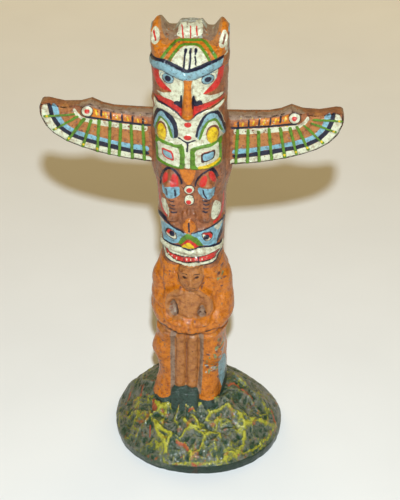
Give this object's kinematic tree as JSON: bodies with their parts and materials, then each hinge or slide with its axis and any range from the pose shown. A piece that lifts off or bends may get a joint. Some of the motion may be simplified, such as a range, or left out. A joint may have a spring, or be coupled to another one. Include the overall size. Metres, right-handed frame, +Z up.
{
  "type": "toy totem pole",
  "caption": "Small hand-painted toy totem pole with a winged bird above a bear holding a little figure, on a rocky mound base.",
  "frame": {"origin": "middle of the footprint, on the mound's flat underside", "axes": "+Z up along the pole, +X along the wings to the viewer's right, and the carved front faces -Y"},
  "size_m": [0.1024, 0.0648, 0.1651],
  "materials": {
    "painted_composition": "hand painted in several colours and varnished",
    "mound_composition": "dark green paint with yellow-green dry brushing, varnished"
  },
  "bodies": {
    "root": {"totem_pole": "painted_composition", "ground_base": "mound_composition"}
  },
  "joints": []
}
